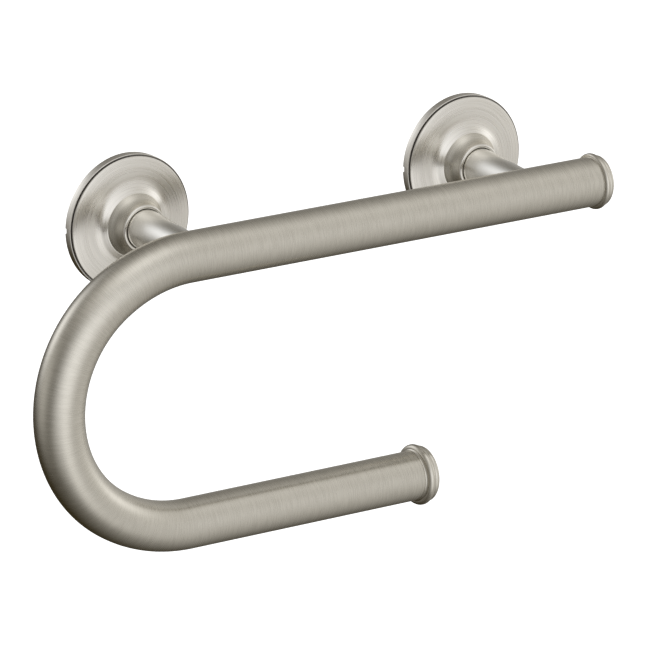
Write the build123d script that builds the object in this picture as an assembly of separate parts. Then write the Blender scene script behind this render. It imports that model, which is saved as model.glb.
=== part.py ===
from build123d import *
import math
import os

# A wall grip bar that carries a toilet roll on its lower arm. Millimetres, +Z up.
# The origin is the centre of the left mounting plate, on the wall plane y = 0.
# The room is at -Y, +X runs along the bar to the right as seen from the room.

# Bar: one length of 1 inch tube, bent back under itself like a hook
TUBE_R = 12.7
TUBE_WALL = 1.5
POST_SPACING = 203.2            # 8 inches between the post axes
BAR_STANDOFF = 70.0             # wall to the bar's centreline
BEND_START_X = -8.2             # where both straight runs meet the bend
ARM_DROP = 137.5                # upper centreline to lower centreline
SHOULDER_R = 80.2               # centreline radius where the bend leaves each straight run
CROWN_R = 66.2                  # centreline radius round the outer end of the bend
UPPER_END_X = 235.3             # where the tube stops at each end cap
LOWER_END_X = 126.9

# End caps: turned plugs pressed into the tube's ends
UPPER_BEAD_R = 14.4
UPPER_BEAD_WIDTH = 3.15
UPPER_COVE = 0.25               # length of the hollow flare between tube and bead
LOWER_BEAD_R = 15.6
LOWER_BEAD_WIDTH = 4.2
LOWER_COVE = 1.0
COVE_RISE = 0.7                 # how much the radius grows along the cove, as a share of its length
CAP_STEP = 0.5                  # depth of the groove between the bead and the dome
DOME_INSET = 1.25               # dome radius below the bead's
DOME_LENGTH = 3.8
DOME_CREST = 1.2                # from the groove to the dome's widest place
DOME_SHOULDER_IN = 1.3          # where the dome's round edge turns into its crown
DOME_SHOULDER_OUT = 2.9
SPIGOT_LENGTH = 14.0
SPIGOT_CHAMFER = 0.8

# Mounting plates: round plates behind the covers, three countersunk screw holes each
PLATE_R = 32.2
PLATE_THICKNESS = 4.0
SCREW_CIRCLE_R = 22.0
SCREW_COUNT = 3
SCREW_HOLE_R = 2.6
SCREW_HEAD_R = 5.0
PLATE_CHAMFER = 0.4

# Grip rings: rubber rings in the plates' edges that hold the covers by friction
RING_SECTION_R = 1.0
RING_CENTRE_R = 32.0

# Posts: solid turned posts, saddled to the bar and let into the plates
TENON_R = 6.0
SHANK_R = 10.1                  # parallel length inside the cover's nose
SHANK_END = 19.5
TAPER = (8.8, 40.0)             # a radius halfway along the taper, and its distance from the wall
NECK_R = 7.9                    # thinnest, where the post meets the bar
NECK_START = 60.0

# Covers: pressed cups that hide the plates and slide forward along the posts
COVER_R = 35.0
COVER_BACK = 0.1                # clearance between a cover's rim and the wall
SHEET = 1.2
RIM_FRONT = 4.7
RIM_GROOVE = 0.45               # depth of the fine groove between the rim and the face
BORE_R = 10.4
BORE_START = 16.6
NOTCH_HEIGHT = 2.6              # pry notch in the back edge of the rim
NOTCH_DEPTH = 1.0

# Points on a cover's outside, as (radius, distance from the wall), from the rim inwards
EDGE_ROUND = (34.4, 5.55)
FACE_EDGE = (33.9, 5.75)
OUTER_FACE = (29.5, 6.6)
SWELL = (25.0, 7.0)
VALLEY = (21.8, 6.88)
RISE = (19.4, 7.9)
ROLL = (17.4, 9.4)
NOSE_FOOT = (16.1, 9.9)
WAIST = (13.6, 13.2)
LIP_FOOT = (12.1, 17.2)
LIP_TOP = (11.15, 18.7)
LIP_END = (BORE_R, 18.38)

# The same on its inside: how much nearer the axis than the point it backs, then two rim points
NOSE_FOOT_LEAN = 0.95
WAIST_LEAN = 1.1
ROLL_LEAN = 0.75
RISE_LEAN = 0.6
RIM_INSIDE = (33.0, 4.6)
RIM_INSIDE_END = 4.0

BAR_Y = -BAR_STANDOFF
POSTS = {"left": 0.0, "right": POST_SPACING}


def outward_plane(x):
    """Sketch plane through a post's axis: local x is radius, local y is distance from the wall."""
    return Plane(origin=(x, 0, 0), x_dir=(1, 0, 0), z_dir=(0, 0, -1))


def outward_axis(x):
    return Axis((x, 0, 0), (0, -1, 0))


def bar_path():
    """Centreline: upper run, three tangent arcs round the bend, lower run."""
    half_drop = ARM_DROP / 2
    shoulder_turn = math.degrees(math.acos((SHOULDER_R - half_drop) / (SHOULDER_R - CROWN_R)))
    with BuildLine(Plane.XZ.offset(BAR_STANDOFF)) as path:
        upper = Line((UPPER_END_X, 0), (BEND_START_X, 0))
        shoulder = JernArc(upper @ 1, upper % 1, SHOULDER_R, shoulder_turn)
        crown = JernArc(shoulder @ 1, shoulder % 1, CROWN_R, 180 - 2 * shoulder_turn)
        hip = JernArc(crown @ 1, crown % 1, SHOULDER_R, shoulder_turn)
        Line(hip @ 1, (LOWER_END_X, -ARM_DROP))
    return path.wire()


def bent_bar():
    path = bar_path()
    start = Plane(origin=path @ 0, z_dir=path % 0)
    outside = sweep(start * Circle(TUBE_R), path=path)
    inside = sweep(start * Circle(TUBE_R - TUBE_WALL), path=path)
    tube = outside - inside
    section = math.pi * (TUBE_R**2 - (TUBE_R - TUBE_WALL) ** 2)
    print(f"bar centreline {path.length:.1f}, volume {tube.volume:.0f}, by length {section * path.length:.0f}")
    return tube


def end_cap(x, z, bead_r, bead_width, cove):
    """Turned cap: spigot, cove, bead, groove, dome. Local x is radius, local y runs out along +X."""
    spigot_r = TUBE_R - TUBE_WALL
    dome_r = bead_r - DOME_INSET
    bead_end = cove + bead_width
    cap_end = bead_end + DOME_LENGTH
    plane = Plane(origin=(x, BAR_Y, z), x_dir=(0, 0, 1), z_dir=(0, 1, 0))
    with BuildSketch(plane) as sketch:
        with BuildLine():
            Polyline(
                (0, cap_end),
                (0, -SPIGOT_LENGTH),
                (spigot_r - SPIGOT_CHAMFER, -SPIGOT_LENGTH),
                (spigot_r, -SPIGOT_LENGTH + SPIGOT_CHAMFER),
                (spigot_r, 0),
                (TUBE_R, 0),
            )
            bead_start = (TUBE_R + COVE_RISE * cove, cove)
            groove = (dome_r - CAP_STEP, bead_end)
            dome_shoulder = (dome_r - DOME_SHOULDER_IN, bead_end + DOME_SHOULDER_OUT)
            Spline((TUBE_R, 0), bead_start, tangents=[(0.1, 1), (1, 0.6)])
            ThreePointArc(bead_start, (bead_r, cove + 0.55 * bead_width), groove)
            ThreePointArc(groove, (dome_r, bead_end + DOME_CREST), dome_shoulder)
            Spline(dome_shoulder, (0, cap_end), tangents=[(-1, 0.75), (-1, 0)])
        make_face()
    return revolve(sketch.sketch, axis=Axis((x, BAR_Y, z), (1, 0, 0)))


def post(x):
    """Turned post: tenon through the plate, parallel shank, long taper, saddle on the bar."""
    with BuildSketch(outward_plane(x)) as sketch:
        with BuildLine():
            Polyline(
                (0, BAR_STANDOFF),
                (0, 0),
                (TENON_R, 0),
                (TENON_R, PLATE_THICKNESS),
                (SHANK_R, PLATE_THICKNESS),
                (SHANK_R, SHANK_END),
            )
            neck = (NECK_R, NECK_START)
            Spline((SHANK_R, SHANK_END), TAPER, neck, tangents=[(-0.05, 1), (0, 1)])
            Polyline(neck, (NECK_R, BAR_STANDOFF), (0, BAR_STANDOFF))
        make_face()
    turned = revolve(sketch.sketch, axis=outward_axis(x))
    bar = Plane(origin=(x, BAR_Y, 0), z_dir=(1, 0, 0)) * Cylinder(TUBE_R, 6 * TUBE_R)
    return turned - bar


def mounting_plate(x):
    """Flat round plate: grooved edge, tenon hole, three countersunk screw holes."""
    front = Plane(origin=(x, -PLATE_THICKNESS, 0), x_dir=(1, 0, 0), z_dir=(0, -1, 0))
    middle = front.offset(-PLATE_THICKNESS / 2)
    plate = middle * Cylinder(PLATE_R, PLATE_THICKNESS)
    plate = chamfer(plate.edges().filter_by(GeomType.CIRCLE), PLATE_CHAMFER)
    plate -= middle * Torus(RING_CENTRE_R, RING_SECTION_R)
    plate -= middle * Cylinder(TENON_R, PLATE_THICKNESS)
    for hole in PolarLocations(SCREW_CIRCLE_R, SCREW_COUNT, start_angle=90):
        plate -= middle * hole * Cylinder(SCREW_HOLE_R, PLATE_THICKNESS)
        depth = SCREW_HEAD_R - SCREW_HOLE_R
        sink = Cone(SCREW_HOLE_R, SCREW_HEAD_R, depth)
        plate -= front.offset(-depth / 2) * hole * sink
    return plate


def grip_ring(x):
    middle = Plane(origin=(x, -PLATE_THICKNESS / 2, 0), z_dir=(0, -1, 0))
    return middle * Torus(RING_CENTRE_R, RING_SECTION_R)


def behind(point, inward):
    """The point on a cover's inside that backs one on its outside, which lies that far nearer the axis."""
    return (point[0] - inward, point[1] - math.sqrt(SHEET**2 - inward**2))


def cover(x):
    """Pressed cup: rim, fine groove, broad swell, shallow valley, roll, flared nose with a rolled lip."""
    inner_r = COVER_R - SHEET
    groove_r = COVER_R - RIM_GROOVE
    with BuildSketch(outward_plane(x)) as sketch:
        with BuildLine():
            # outside, from the rim's back edge to the bore
            face_start = (groove_r, RIM_FRONT + RIM_GROOVE)
            Polyline((COVER_R, COVER_BACK), (COVER_R, RIM_FRONT), (groove_r, RIM_FRONT), face_start)
            ThreePointArc(face_start, EDGE_ROUND, FACE_EDGE)
            face = (FACE_EDGE, OUTER_FACE, SWELL, VALLEY, RISE, ROLL, NOSE_FOOT)
            Spline(*face, tangents=[(-1, 0.28), (-1, 0.1)])
            Spline(NOSE_FOOT, WAIST, LIP_FOOT, tangents=[(-0.65, 1), (-0.25, 1)])
            ThreePointArc(LIP_FOOT, LIP_TOP, LIP_END)
            # inside, back to the rim
            nose_inside = behind(NOSE_FOOT, NOSE_FOOT_LEAN)
            Polyline(LIP_END, (BORE_R, BORE_START), behind(WAIST, WAIST_LEAN), nose_inside)
            Spline(
                nose_inside,
                behind(ROLL, ROLL_LEAN),
                behind(RISE, RISE_LEAN),
                behind(VALLEY, 0),
                behind(OUTER_FACE, 0),
                RIM_INSIDE,
                tangents=[(1, -0.6), (1, -0.3)],
            )
            Polyline(RIM_INSIDE, (inner_r, RIM_INSIDE_END), (inner_r, COVER_BACK), (COVER_R, COVER_BACK))
        make_face()
    cup = revolve(sketch.sketch, axis=outward_axis(x))
    notch = Box(4 * SHEET, 2 * NOTCH_DEPTH, NOTCH_HEIGHT)
    return cup - Pos(x - COVER_R, -COVER_BACK, 0) * notch


parts = {
    "bent_bar": bent_bar(),
    "upper_end_cap": end_cap(UPPER_END_X, 0, UPPER_BEAD_R, UPPER_BEAD_WIDTH, UPPER_COVE),
    "lower_end_cap": end_cap(LOWER_END_X, -ARM_DROP, LOWER_BEAD_R, LOWER_BEAD_WIDTH, LOWER_COVE),
}
for side, post_x in POSTS.items():
    parts[f"{side}_post"] = post(post_x)
    parts[f"{side}_mounting_plate"] = mounting_plate(post_x)
    parts[f"{side}_grip_ring"] = grip_ring(post_x)
    parts[f"{side}_cover"] = cover(post_x)

os.makedirs("parts", exist_ok=True)
for name, shape in parts.items():
    export_step(shape, f"parts/{name}.step")
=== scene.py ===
from math import acos, atan2, cos, pi, radians, sin, sqrt

import bpy
from mathutils import Matrix, Vector


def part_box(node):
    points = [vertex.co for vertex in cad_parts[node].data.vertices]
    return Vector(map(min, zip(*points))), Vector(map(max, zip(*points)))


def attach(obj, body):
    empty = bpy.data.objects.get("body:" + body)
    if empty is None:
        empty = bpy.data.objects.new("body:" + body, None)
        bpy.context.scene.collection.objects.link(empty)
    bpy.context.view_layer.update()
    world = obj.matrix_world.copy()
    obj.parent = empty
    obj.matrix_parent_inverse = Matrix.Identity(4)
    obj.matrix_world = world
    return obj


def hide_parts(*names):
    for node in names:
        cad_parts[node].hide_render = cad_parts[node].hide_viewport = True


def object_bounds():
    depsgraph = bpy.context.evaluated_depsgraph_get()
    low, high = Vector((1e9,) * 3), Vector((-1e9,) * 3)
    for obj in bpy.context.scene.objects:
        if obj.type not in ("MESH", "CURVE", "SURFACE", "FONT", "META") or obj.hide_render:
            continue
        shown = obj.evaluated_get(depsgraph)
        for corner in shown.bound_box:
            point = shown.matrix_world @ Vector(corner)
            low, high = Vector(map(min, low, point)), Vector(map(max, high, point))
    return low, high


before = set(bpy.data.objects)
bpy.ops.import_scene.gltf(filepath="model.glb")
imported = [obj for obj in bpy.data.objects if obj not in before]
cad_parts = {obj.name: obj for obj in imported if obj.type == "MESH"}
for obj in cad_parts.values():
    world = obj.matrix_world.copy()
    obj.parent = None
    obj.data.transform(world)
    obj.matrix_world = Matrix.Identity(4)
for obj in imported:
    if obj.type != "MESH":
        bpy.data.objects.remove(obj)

cad_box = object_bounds()

# The bar. One length of 25.4 mm stainless tube, drawn round a bending form into a deep hook
# and brushed across its length with a belt, then nickel plated. The posts are welded to its back.
TUBE_R = 0.0127
TUBE_WALL = 0.0015
SHOULDER_R = 0.0802
CROWN_R = 0.0662
BEND_START_X = -0.0082
SPIGOT_LENGTH = 0.014
ROUND_STEPS = 128
UPPER_RUN_STEPS, SHOULDER_STEPS, CROWN_STEPS, LOWER_RUN_STEPS = 48, 24, 64, 32
END_EASE = 0.0003       # how far the tube's cut ends are rounded
END_BRUSHING = 0.003    # length of brushing that a cut end takes up
SHARP_EDGE = radians(28)

bar_low, bar_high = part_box("bent_bar")
bar_y = (bar_low.y + bar_high.y) / 2
upper_z = bar_high.z - TUBE_R
lower_z = bar_low.z + TUBE_R
upper_end_x = bar_high.x
lower_end_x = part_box("lower_end_cap")[0].x + SPIGOT_LENGTH


def bar_centreline():
    """Points and directions along the tube, from the upper open end round the bend to the arm's end."""
    turn = acos((SHOULDER_R - (upper_z - lower_z) / 2) / (SHOULDER_R - CROWN_R))
    stations = [(Vector((upper_end_x, bar_y, upper_z)), Vector((-1, 0, 0)))]

    def run_to(x, count):
        start, heading = stations[-1]
        length = abs(x - start.x)
        for i in range(1, count + 1):
            stations.append((start + heading * (length * i / count), heading.copy()))

    def bend(radius, angle, count):
        start, heading = stations[-1]
        inward = Vector((heading.z, 0, -heading.x)) * -1
        centre = start + inward * radius
        for i in range(1, count + 1):
            spin = Matrix.Rotation(-angle * i / count, 3, "Y")
            stations.append((centre + spin @ (start - centre), spin @ heading))

    run_to(BEND_START_X, UPPER_RUN_STEPS)
    bend(SHOULDER_R, turn, SHOULDER_STEPS)
    bend(CROWN_R, pi - 2 * turn, CROWN_STEPS)
    bend(SHOULDER_R, turn, SHOULDER_STEPS)
    run_to(lower_end_x, LOWER_RUN_STEPS)
    return stations


def surface(name, rows, along, materials, closed=False, second=None):
    """Quads between rings of points; a ring of one point closes an end. u is metres along, v is turns round.

    second gives the rows that take another material than the first, and which.
    """
    points, firsts = [], []
    for row in rows:
        firsts.append(len(points))
        points += row
    faces, uvs, face_rows = [], [], []
    for i in range(len(rows) if closed else len(rows) - 1):
        j = (i + 1) % len(rows)
        count = max(len(rows[i]), len(rows[j]))
        for k in range(count):
            near, far = k / count, (k + 1) / count
            corners = []
            for row, places in ((i, (k, k + 1)), (j, (k + 1, k))):
                if len(rows[row]) == 1:
                    uv = (along[i + (row == j)], (near + far) / 2)
                    corners.append((firsts[row], uv))
                else:
                    for place in places:
                        uv = (along[i + (row == j)], place / count)
                        corners.append((firsts[row] + place % count, uv))
            faces.append([corner[0] for corner in corners])
            face_rows.append(i)
            uvs += [corner[1] for corner in corners]
    mesh = bpy.data.meshes.new(name)
    mesh.from_pydata(points, [], faces)
    layer = mesh.uv_layers.new(name="brushing")
    for loop, uv in zip(layer.data, uvs):
        loop.uv = uv
    mesh.polygons.foreach_set("use_smooth", [True] * len(faces))
    mesh.update()
    mesh.set_sharp_from_angle(angle=SHARP_EDGE)
    for material in materials:
        mesh.materials.append(material)
    if second:
        mesh.polygons.foreach_set("material_index", [second.get(row, 0) for row in face_rows])
    piece = bpy.data.objects.new(name, mesh)
    bpy.context.scene.collection.objects.link(piece)
    return piece


FINE_SHARE = 0.8
BROAD_WIDTH = 4         # how many fine lines wide a broad one is
ROUGHNESS_SWING = 0.02


def brushed_nickel(name, dark, light, line_scale, reach, depth, roughness, stretch):
    """Satin nickel with fine lines round the piece: line_scale to the metre, longer for a smaller reach."""
    material = bpy.data.materials.new(name)
    material.use_nodes = True
    nodes, links = material.node_tree.nodes, material.node_tree.links
    shader = nodes["Principled BSDF"]
    shader.inputs["Metallic"].default_value = 1.0
    shader.inputs["Anisotropic"].default_value = stretch

    place = nodes.new("ShaderNodeUVMap")
    place.uv_map = "brushing"
    split = nodes.new("ShaderNodeSeparateXYZ")
    links.new(place.outputs["UV"], split.inputs["Vector"])

    def calc(operation, a, b=None):
        node = nodes.new("ShaderNodeMath")
        node.operation = operation
        for socket, value in zip(node.inputs, (a, b)):
            if isinstance(value, (int, float)):
                socket.default_value = value
            elif value is not None:
                links.new(value, socket)
        return node.outputs["Value"]

    turn = calc("MULTIPLY", split.outputs["Y"], 2 * pi)
    side, front = calc("SINE", turn), calc("COSINE", turn)

    def lines(scale, round_scale, detail):
        """Noise drawn out into lines: scale is per metre along the piece, round_scale per radian round it."""
        spot = nodes.new("ShaderNodeCombineXYZ")
        links.new(calc("MULTIPLY", split.outputs["X"], scale), spot.inputs["X"])
        links.new(calc("MULTIPLY", side, round_scale), spot.inputs["Y"])
        links.new(calc("MULTIPLY", front, round_scale), spot.inputs["Z"])
        noise = nodes.new("ShaderNodeTexNoise")
        noise.inputs["Scale"].default_value = 1.0
        noise.inputs["Detail"].default_value = detail
        noise.inputs["Roughness"].default_value = 0.5
        links.new(spot.outputs["Vector"], noise.inputs["Vector"])
        return noise.outputs["Fac"]

    fine = lines(line_scale, reach, 0.5)
    broad = lines(line_scale / BROAD_WIDTH, reach, 1.0)
    mix = calc("ADD", calc("MULTIPLY", fine, FINE_SHARE), calc("MULTIPLY", broad, 1 - FINE_SHARE))

    tone = nodes.new("ShaderNodeValToRGB")
    tone.color_ramp.elements[0].position = 0.36
    tone.color_ramp.elements[1].position = 0.64
    tone.color_ramp.elements[0].color = (*dark, 1)
    tone.color_ramp.elements[1].color = (*light, 1)
    links.new(mix, tone.inputs["Fac"])
    links.new(tone.outputs["Color"], shader.inputs["Base Color"])

    spread = nodes.new("ShaderNodeMapRange")
    spread.inputs["From Min"].default_value = 0.3
    spread.inputs["From Max"].default_value = 0.7
    spread.inputs["To Min"].default_value = roughness - ROUGHNESS_SWING
    spread.inputs["To Max"].default_value = roughness + ROUGHNESS_SWING
    links.new(mix, spread.inputs["Value"])
    links.new(spread.outputs["Result"], shader.inputs["Roughness"])

    relief = nodes.new("ShaderNodeBump")
    relief.inputs["Strength"].default_value = 1.0
    relief.inputs["Distance"].default_value = depth
    links.new(fine, relief.inputs["Height"])
    links.new(relief.outputs["Normal"], shader.inputs["Normal"])

    grain = nodes.new("ShaderNodeTangent")
    grain.direction_type = "UV_MAP"
    grain.uv_map = "brushing"
    links.new(grain.outputs["Tangent"], shader.inputs["Tangent"])
    return material


NICKEL_DARK = (0.592, 0.561, 0.492)
NICKEL_LIGHT = (0.650, 0.617, 0.543)
belt_brushed = brushed_nickel("belt_brushed_nickel", NICKEL_DARK, NICKEL_LIGHT, 2600, 1.8,
                              0.0000005, 0.28, 0.1)

FULL_TURN = [2 * pi * k / ROUND_STEPS for k in range(ROUND_STEPS)]


def tube_ring(centre, heading, radius):
    out = Vector((0, -1, 0))
    up = heading.cross(out)
    return [centre + radius * (out * cos(a) + up * sin(a)) for a in FULL_TURN]


rings, lengths, travelled = [], [], 0.0
stations = bar_centreline()
last = len(stations) - 1
for n, (centre, heading) in enumerate(stations):
    if n:
        travelled += (centre - stations[n - 1][0]).length
    radius = TUBE_R - END_EASE if n in (0, last) else TUBE_R
    if n in (1, last - 1):
        end = stations[0 if n == 1 else last][0]
        centre = end + (centre - end).normalized() * END_EASE
    rings.append(tube_ring(centre, heading, radius))
    lengths.append(travelled)
for centre, heading in reversed(stations):
    rings.append(tube_ring(centre, heading, TUBE_R - TUBE_WALL))
    lengths.append(lengths[-1] + END_BRUSHING)
lengths.append(lengths[-1] + END_BRUSHING)
bar_tube = surface("bar_tube", rings, lengths, [belt_brushed], closed=True)
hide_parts("bent_bar")
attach(bar_tube, "frame")


# The end caps. Turned plugs with a bead and a domed end, pressed into the tube's open ends.
# The arm's cap has a longer cove and a larger bead, so that the roll doesn't slip off.
UPPER_BEAD_WIDTH, UPPER_COVE = 0.00315, 0.00025
LOWER_BEAD_WIDTH, LOWER_COVE = 0.0042, 0.0010
COVE_RISE = 0.7         # how much the radius grows along the cove, as a share of its length
BEAD_CREST = 0.55       # where the bead is widest, as a share of its width
CAP_STEP = 0.0005
DOME_INSET = 0.00125
DOME_LENGTH = 0.0038
DOME_CREST = 0.0012
DOME_SHOULDER_IN, DOME_SHOULDER_OUT = 0.0013, 0.0029
SPIGOT_GAP = 0.00003
SPIGOT_CHAMFER = 0.0008
COLLAR_GAP = 0.0001
COVE_STEPS, BEAD_STEPS, DOME_STEPS = 8, 20, 14


def through(a, b, c, steps):
    """Points on the arc from a to c by way of b, without a itself."""
    (ax, ay), (bx, by), (cx, cy) = a, b, c
    scale = 2 * (ax * (by - cy) + bx * (cy - ay) + cx * (ay - by))
    aa, bb, cc = ax * ax + ay * ay, bx * bx + by * by, cx * cx + cy * cy
    x = (aa * (by - cy) + bb * (cy - ay) + cc * (ay - by)) / scale
    y = (aa * (cx - bx) + bb * (ax - cx) + cc * (bx - ax)) / scale
    radius = sqrt((ax - x) ** 2 + (ay - y) ** 2)
    first = atan2(ay - y, ax - x)
    way = 1 if (bx - ax) * (cy - ay) - (by - ay) * (cx - ax) > 0 else -1
    sweep = (way * (atan2(cy - y, cx - x) - first)) % (2 * pi)
    angles = [first + way * sweep * i / steps for i in range(1, steps + 1)]
    return [(x + radius * cos(a), y + radius * sin(a)) for a in angles]


def smooth(points, first, last, steps):
    """Points on a smooth curve through points, without the first; first and last are its end headings."""
    curve = []
    for i in range(len(points) - 1):
        p, q = Vector(points[i]), Vector(points[i + 1])
        span = (q - p).length

        def heading(k):
            if k == 0:
                return Vector(first).normalized()
            if k == len(points) - 1:
                return Vector(last).normalized()
            return (Vector(points[k + 1]) - Vector(points[k - 1])).normalized()

        leave, arrive = heading(i) * span, heading(i + 1) * span
        for n in range(1, steps + 1):
            t = n / steps
            point = (p * (2 * t**3 - 3 * t**2 + 1) + leave * (t**3 - 2 * t**2 + t)
                     + q * (3 * t**2 - 2 * t**3) + arrive * (t**3 - t**2))
            curve.append((point.x, point.y))
    return curve


def travel(outline):
    """The distance travelled along an outline at each of its points."""
    along = [0.0]
    for (r, d), (next_r, next_d) in zip(outline, outline[1:]):
        along.append(along[-1] + sqrt((next_r - r) ** 2 + (next_d - d) ** 2))
    return along


def turned(name, outline, place, material):
    """A lathe-turned piece: outline is (radius, distance) points, and place puts one on the piece's axis."""
    rows = [[place(radius, a, distance) for a in (FULL_TURN if radius else FULL_TURN[:1])]
            for radius, distance in outline]
    return surface(name, rows, travel(outline), [material])


def cap_outline(bead_r, bead_width, cove):
    dome_r = bead_r - DOME_INSET
    bead_end = cove + bead_width
    spigot_r = TUBE_R - TUBE_WALL - SPIGOT_GAP
    collar = (TUBE_R - COLLAR_GAP, 0)
    bead_start = (TUBE_R + COVE_RISE * cove, cove)
    groove = (dome_r - CAP_STEP, bead_end)
    dome_edge = (dome_r - DOME_SHOULDER_IN, bead_end + DOME_SHOULDER_OUT)
    crown = (0, bead_end + DOME_LENGTH)
    outline = [(0, -SPIGOT_LENGTH), (spigot_r - SPIGOT_CHAMFER, -SPIGOT_LENGTH)]
    outline += [(spigot_r, -SPIGOT_LENGTH + SPIGOT_CHAMFER), (spigot_r, 0), collar]
    outline += smooth([collar, bead_start], (0.1, 1), (1, 0.6), COVE_STEPS)
    outline += through(bead_start, (bead_r, cove + BEAD_CREST * bead_width), groove, BEAD_STEPS)
    outline += through(groove, (dome_r, bead_end + DOME_CREST), dome_edge, DOME_STEPS)
    outline += smooth([dome_edge, crown], (-1, 0.75), (-1, 0), DOME_STEPS)
    outline[-1] = crown
    return outline


for cap, end_x, axis_z, bead_width, cove in (
        ("upper", upper_end_x, upper_z, UPPER_BEAD_WIDTH, UPPER_COVE),
        ("lower", lower_end_x, lower_z, LOWER_BEAD_WIDTH, LOWER_COVE)):
    low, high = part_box(cap + "_end_cap")

    def on_bar(radius, angle, distance):
        return Vector((end_x + distance, bar_y - radius * cos(angle), axis_z + radius * sin(angle)))

    outline = cap_outline((high.z - low.z) / 2, bead_width, cove)
    end_cap = turned(cap + "_cap", outline, on_bar, belt_brushed)
    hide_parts(cap + "_end_cap")
    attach(end_cap, "frame")


# The posts. Solid turned nickel silver, tapering towards the bar, with a tenon plug welded
# into the mounting plate and a small fillet of weld, dressed smooth, where each meets the bar.
TENON_R = 0.006
SHANK_R = 0.0101
SHANK_END = 0.0195
TAPER = (0.0088, 0.040)
NECK_R = 0.0079
NECK_START = 0.0565
TAPER_STEPS = 14
WELD = 0.0011
WELD_RINGS = 10
WELD_SINK = 0.0002      # how far the post's end runs on into the bar

SATIN_DARK = (0.86, 0.845, 0.80)
SATIN_LIGHT = (0.88, 0.865, 0.82)
satin = brushed_nickel("satin_nickel", SATIN_DARK, SATIN_LIGHT, 4000, 2.0, 0.0, 0.24, 0.0)


def post_piece(side):
    low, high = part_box(side + "_post")
    axis_x = (low.x + high.x) / 2
    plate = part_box(side + "_mounting_plate")[0].y
    shank_end, neck = (SHANK_R, SHANK_END), (NECK_R, NECK_START)
    outline = [(0.0, 0.0), (TENON_R, 0.0), (TENON_R, -plate), (SHANK_R, -plate), shank_end]
    outline += smooth([shank_end, TAPER, neck], (-0.05, 1), (-0.02, 1), TAPER_STEPS)
    rows, along = [], travel(outline)
    for radius, distance in outline:
        rows.append([Vector((axis_x + radius * cos(a), -distance, radius * sin(a)))
                     for a in (FULL_TURN if radius else FULL_TURN[:1])])

    def on_saddle(radius, angle, lift):
        z = radius * sin(angle)
        return Vector((axis_x + radius * cos(angle), bar_y + sqrt(TUBE_R**2 - z * z) + lift, z))

    for n in range(WELD_RINGS + 1):
        t = pi / 2 * n / WELD_RINGS
        radius, lift = NECK_R + WELD * (1 - cos(t)), WELD * (1 - sin(t))
        rows.append([on_saddle(radius, a, lift) for a in FULL_TURN])
        along.append(along[-1] + WELD * pi / 2 / WELD_RINGS)
    rows.append([on_saddle(0.0, 0.0, -WELD_SINK)])
    along.append(along[-1] + NECK_R)
    return surface(side + "_post_turning", rows, along, [satin])


for side in ("left", "right"):
    post = post_piece(side)
    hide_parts(side + "_post")
    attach(post, "frame")


# The covers. Pressed and spun brass cups, lathe brushed and plated, that push onto the plates' rubber
# rings and slide forward along the posts. A notch in the rim's back edge takes a blade to prise them off.
SHEET = 0.0012
NOTCH_HALF = 0.0013
NOTCH_DEPTH = 0.0010
NOTCH_CORNER = 0.004    # radians over which the notch's sides fall away
NOTCH_CLEAR = 0.01      # radians beside the notch that take no other points
BORE_R = 0.0103
BACK_ROUND = 0.00025
RIM_TOP = 0.0045
RIM_FRONT = 0.0047
SLOT_FLOOR = 0.0040
SLOT_END = 0.0052
LIP_EASE = 0.0002
BORE_EASE = 0.0006
BORE_START = 0.0166
FACE_STEPS, NOSE_STEPS, LIP_STEPS, INSIDE_STEPS = 10, 12, 14, 6
FACE_ROUND_STEPS, RIM_ROUND_STEPS = 6, 3

# Points on a cover, as (radius, distance from the wall): its face, its nose, then its inside
OUTER_FACE = (0.0295, 0.0066)
SWELL = (0.0250, 0.0071)
VALLEY = (0.0218, 0.00745)
RISE = (0.0194, 0.0081)
ROLL = (0.0174, 0.0092)
NOSE_FOOT = (0.0161, 0.0099)
WAIST = (0.0136, 0.0132)
LIP_FOOT = (0.0121, 0.0172)
LIP_TOP_R = 0.01115
INSIDE_WAIST = (0.0124, 0.01272)
INSIDE_FOOT = (0.01515, 0.00927)
INSIDE_FACE = [(0.01665, 0.00826), (0.0188, 0.00646), (0.0223, 0.0053), (0.0284, 0.00575)]
INSIDE_EDGE = 0.0046

LATHE_DARK = (0.74, 0.71, 0.65)
LATHE_LIGHT = (0.82, 0.79, 0.73)
lathe_brushed = brushed_nickel("lathe_brushed_nickel", LATHE_DARK, LATHE_LIGHT, 1400, 0.9,
                               0.0000008, 0.28, 0.2)

# The slot between the rim and the face takes a dull, dark metal: its dark colour is painted shade for the
# shadow in the groove.
groove_painted_shade = bpy.data.materials.new("painted_shade_groove")
groove_painted_shade.use_nodes = True
groove_shade_shader = groove_painted_shade.node_tree.nodes["Principled BSDF"]
# Dark base colour: painted shade for the groove's shadow
groove_shade_shader.inputs["Base Color"].default_value = (0.30, 0.285, 0.26, 1)
groove_shade_shader.inputs["Metallic"].default_value = 1.0
groove_shade_shader.inputs["Roughness"].default_value = 0.55


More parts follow.
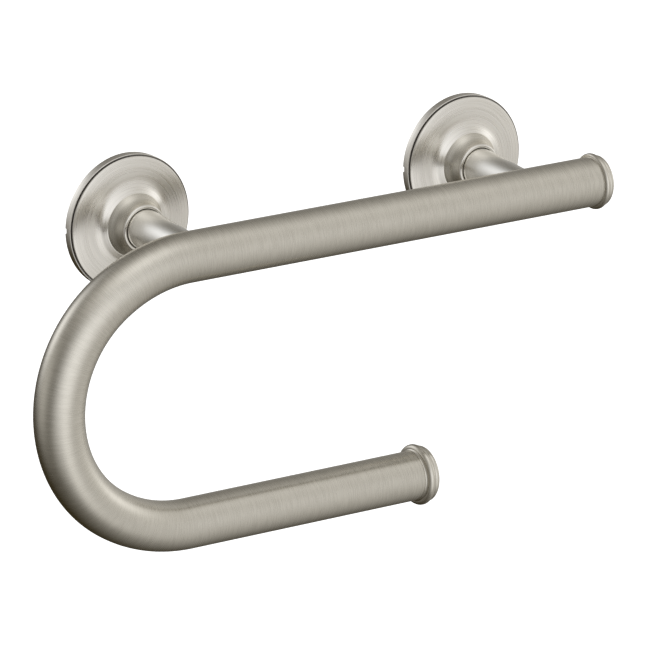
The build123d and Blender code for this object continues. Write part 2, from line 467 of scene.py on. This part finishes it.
def cover_piece(side):
    low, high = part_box(side + "_cover")
    axis_x, rim_r = (low.x + high.x) / 2, (high.z - low.z) / 2
    back, nose = -high.y, -low.y
    inner_r = rim_r - SHEET
    groove_r = rim_r - 0.0003
    slot_r = rim_r - 0.0010
    face_edge = (rim_r - 0.0012, 0.00575)

    outline = [(rim_r - BACK_ROUND, back), (rim_r, back + BACK_ROUND), (rim_r, RIM_TOP)]
    rim_corner = (rim_r - 0.00006, 0.00464)
    outline += through((rim_r, RIM_TOP), rim_corner, (rim_r - 0.0002, RIM_FRONT), RIM_ROUND_STEPS)
    slot_start = len(outline)
    outline += [(groove_r, RIM_FRONT), (groove_r, SLOT_FLOOR), (slot_r, SLOT_FLOOR), (slot_r, SLOT_END)]
    outline += through((slot_r, SLOT_END), (rim_r - 0.00104, 0.00552), face_edge, FACE_ROUND_STEPS)
    face = [face_edge, OUTER_FACE, SWELL, VALLEY, RISE, ROLL, NOSE_FOOT]
    outline += smooth(face, (-1, 0.28), (-1, 0.35), FACE_STEPS)
    nose_start = len(outline) - 1
    outline += smooth([NOSE_FOOT, WAIST, LIP_FOOT], (-0.65, 1), (-0.25, 1), NOSE_STEPS)
    nose_end = len(outline) - 1
    lip_end = (BORE_R + LIP_EASE, nose - LIP_EASE)
    outline += through(LIP_FOOT, (LIP_TOP_R, nose), lip_end, LIP_STEPS)
    outline += [(BORE_R, nose - BORE_EASE), (BORE_R, BORE_START), INSIDE_WAIST, INSIDE_FOOT]
    inside = [INSIDE_FOOT, *INSIDE_FACE, (inner_r - 0.0008, INSIDE_EDGE)]
    outline += smooth(inside, (1, -0.6), (1, -0.3), INSIDE_STEPS)
    outline += [(inner_r, SLOT_FLOOR), (inner_r, back + BACK_ROUND), (inner_r + BACK_ROUND, back)]

    half = NOTCH_HALF / rim_r
    angles = [a for a in FULL_TURN if abs(a - pi) > half + NOTCH_CLEAR]
    angles += [pi - half - NOTCH_CORNER, pi - half, pi + half, pi + half + NOTCH_CORNER]
    angles.sort()
    rows = []
    for radius, distance in outline:
        at_back = radius > inner_r - 0.0001 and distance < back + 0.0003
        row = []
        for a in angles:
            lift = NOTCH_DEPTH if at_back and abs(a - pi) < half + NOTCH_CORNER / 2 else 0.0
            row.append(Vector((axis_x + radius * cos(a), -distance - lift, radius * sin(a))))
        rows.append(row)
    # The nose takes the tube's belt-brushed nickel: its brushing is a real finish, but its darker tone is
    # painted shade for the nose's dark reflection. The slot rows take the painted-shade groove metal.
    finish_and_shade_rows = {row: 1 for row in range(nose_start, nose_end)}
    finish_and_shade_rows.update({row: 2 for row in range(slot_start, slot_start + 3)})
    materials = [lathe_brushed, belt_brushed, groove_painted_shade]
    along = travel(outline)
    along.append(along[-1] + SHEET)
    return surface(side + "_cover_cup", rows, along, materials, True, finish_and_shade_rows)


for side in ("left", "right"):
    cup = cover_piece(side)
    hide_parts(side + "_cover")
    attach(cup, side + "_cover_body")


# The mounting plates. Blanked stainless plate with a rolled groove round the edge and three
# countersunk holes, left as it comes from tumbling, because the covers hide it.
def tumbled_steel():
    material = bpy.data.materials.new("tumbled_steel")
    material.use_nodes = True
    nodes, links = material.node_tree.nodes, material.node_tree.links
    shader = nodes["Principled BSDF"]
    shader.inputs["Metallic"].default_value = 1.0
    place = nodes.new("ShaderNodeTexCoord")
    speckle = nodes.new("ShaderNodeTexNoise")
    speckle.inputs["Scale"].default_value = 1400
    speckle.inputs["Detail"].default_value = 4.0
    links.new(place.outputs["Object"], speckle.inputs["Vector"])
    tone = nodes.new("ShaderNodeValToRGB")
    tone.color_ramp.elements[0].position = 0.3
    tone.color_ramp.elements[1].position = 0.7
    tone.color_ramp.elements[0].color = (0.42, 0.42, 0.41, 1)
    tone.color_ramp.elements[1].color = (0.56, 0.56, 0.55, 1)
    links.new(speckle.outputs["Fac"], tone.inputs["Fac"])
    links.new(tone.outputs["Color"], shader.inputs["Base Color"])
    spread = nodes.new("ShaderNodeMapRange")
    spread.inputs["To Min"].default_value = 0.36
    spread.inputs["To Max"].default_value = 0.52
    links.new(speckle.outputs["Fac"], spread.inputs["Value"])
    links.new(spread.outputs["Result"], shader.inputs["Roughness"])
    relief = nodes.new("ShaderNodeBump")
    relief.inputs["Distance"].default_value = 0.00002
    links.new(speckle.outputs["Fac"], relief.inputs["Height"])
    links.new(relief.outputs["Normal"], shader.inputs["Normal"])
    return material


steel = tumbled_steel()
for side in ("left", "right"):
    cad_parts[side + "_mounting_plate"].data.materials.clear()
    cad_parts[side + "_mounting_plate"].data.materials.append(steel)


# The grip rings. Moulded black rubber rings in the plates' grooves, which hold the covers on.
def moulded_rubber():
    material = bpy.data.materials.new("moulded_rubber")
    material.use_nodes = True
    nodes, links = material.node_tree.nodes, material.node_tree.links
    shader = nodes["Principled BSDF"]
    place = nodes.new("ShaderNodeTexCoord")
    bloom = nodes.new("ShaderNodeTexNoise")
    bloom.inputs["Scale"].default_value = 500
    links.new(place.outputs["Object"], bloom.inputs["Vector"])
    tone = nodes.new("ShaderNodeValToRGB")
    tone.color_ramp.elements[0].color = (0.012, 0.012, 0.012, 1)
    tone.color_ramp.elements[1].color = (0.035, 0.034, 0.033, 1)
    links.new(bloom.outputs["Fac"], tone.inputs["Fac"])
    links.new(tone.outputs["Color"], shader.inputs["Base Color"])
    shader.inputs["Roughness"].default_value = 0.6
    return material


rubber = moulded_rubber()
for side in ("left", "right"):
    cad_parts[side + "_grip_ring"].data.materials.clear()
    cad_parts[side + "_grip_ring"].data.materials.append(rubber)


# The studio. A white floor far below, kept out of the metal's reflections, and grey walls that glow
# softly in places. Nothing else gives light but the floor itself.
FLOOR_DROP = 0.55
FLOOR_REACH = 6.0
ROOM = (0.162, 0.153, 0.135)
COOL = (0.98, 1.0, 1.05)
PLAIN = (1.0, 1.0, 1.0)

room = bpy.data.worlds.new("room")
bpy.context.scene.world = room
room.use_nodes = True
walls, wires = room.node_tree.nodes, room.node_tree.links
look = walls.new("ShaderNodeTexCoord")


def glow(behind, azimuth, height, tightness, strength, tint):
    """Adds a soft pool of light to the walls: azimuth degrees right of the room side, height degrees up."""
    turn, lift = radians(azimuth), radians(height)
    facing = walls.new("ShaderNodeVectorMath")
    facing.operation = "DOT_PRODUCT"
    facing.inputs[1].default_value = (sin(turn) * cos(lift), -cos(turn) * cos(lift), sin(lift))
    wires.new(look.outputs["Generated"], facing.inputs[0])
    value = facing.outputs["Value"]
    for operation, amount in (("MAXIMUM", 0.0), ("POWER", tightness)):
        step = walls.new("ShaderNodeMath")
        step.operation = operation
        wires.new(value, step.inputs[0])
        step.inputs[1].default_value = amount
        value = step.outputs["Value"]
    total = walls.new("ShaderNodeVectorMath")
    total.operation = "MULTIPLY_ADD"
    wires.new(value, total.inputs[0])
    total.inputs[1].default_value = [strength * part for part in tint]
    if behind is None:
        total.inputs[2].default_value = ROOM
    else:
        wires.new(behind, total.inputs[2])
    return total.outputs["Vector"]


# Each pool: azimuth, height, tightness (higher is narrower), strength and tint. One takes light away.
light = None
for azimuth, height, tightness, strength, tint in (
        (75, 15, 2, 0.64, PLAIN),
        (-15, 5, 4, 1.10, COOL),
        (0, -35, 16, 0.40, PLAIN),
        (10, 70, 12, 0.60, COOL),
        (-155, 20, 16, 1.30, COOL),
        (45, -45, 4, 0.22, PLAIN),
        (-60, 75, 4, 0.45, PLAIN),
        (-50, -35, 16, 0.16, PLAIN),
        (75, 10, 32, 0.64, COOL),
        (-115, 0, 8, 0.45, PLAIN),
        (146, -5, 16, 0.20, PLAIN),
        (180, -35, 2, -0.13, PLAIN)):
    light = glow(light, azimuth, height, tightness, strength, tint)
wires.new(light, walls["Background"].inputs["Color"])

floor_z = cad_box[0][2] - FLOOR_DROP
floor_mesh = bpy.data.meshes.new("studio_floor")
corners = [(-1, -1), (1, -1), (1, 1), (-1, 1)]
floor_mesh.from_pydata([(x * FLOOR_REACH, y * FLOOR_REACH, floor_z) for x, y in corners], [], [(0, 1, 2, 3)])
white = bpy.data.materials.new("white_floor")
white.use_nodes = True
paint = white.node_tree.nodes["Principled BSDF"]
paint.inputs["Base Color"].default_value = (0.9, 0.9, 0.9, 1)
paint.inputs["Roughness"].default_value = 0.9
paint.inputs["Specular IOR Level"].default_value = 0.0
paint.inputs["Emission Color"].default_value = (1, 1, 1, 1)
paint.inputs["Emission Strength"].default_value = 0.75
floor_mesh.materials.append(white)
floor = bpy.data.objects.new("studio_floor", floor_mesh)
floor.visible_glossy = False
bpy.context.scene.collection.objects.link(floor)

# The camera stands to the left and a little above, and looks at the middle of the bend's opening.
camera_data = bpy.data.cameras.new("camera")
camera_data.lens = 369.3
camera = bpy.data.objects.new("camera", camera_data)
bpy.context.scene.collection.objects.link(camera)
AIM = Vector((0.08041, -0.05775, -0.05204))
AZIMUTH, HEIGHT, DISTANCE, ROLL = radians(34.33), radians(17.51), 3.306, radians(0.49)
back = Vector((-sin(AZIMUTH) * cos(HEIGHT), -cos(AZIMUTH) * cos(HEIGHT), sin(HEIGHT)))
camera.location = AIM + back * DISTANCE
camera.rotation_mode = "QUATERNION"
camera.rotation_quaternion = back.to_track_quat("Z", "Y") @ Matrix.Rotation(ROLL, 3, "Z").to_quaternion()
bpy.context.scene.camera = camera
bpy.context.scene.view_settings.view_transform = "Standard"
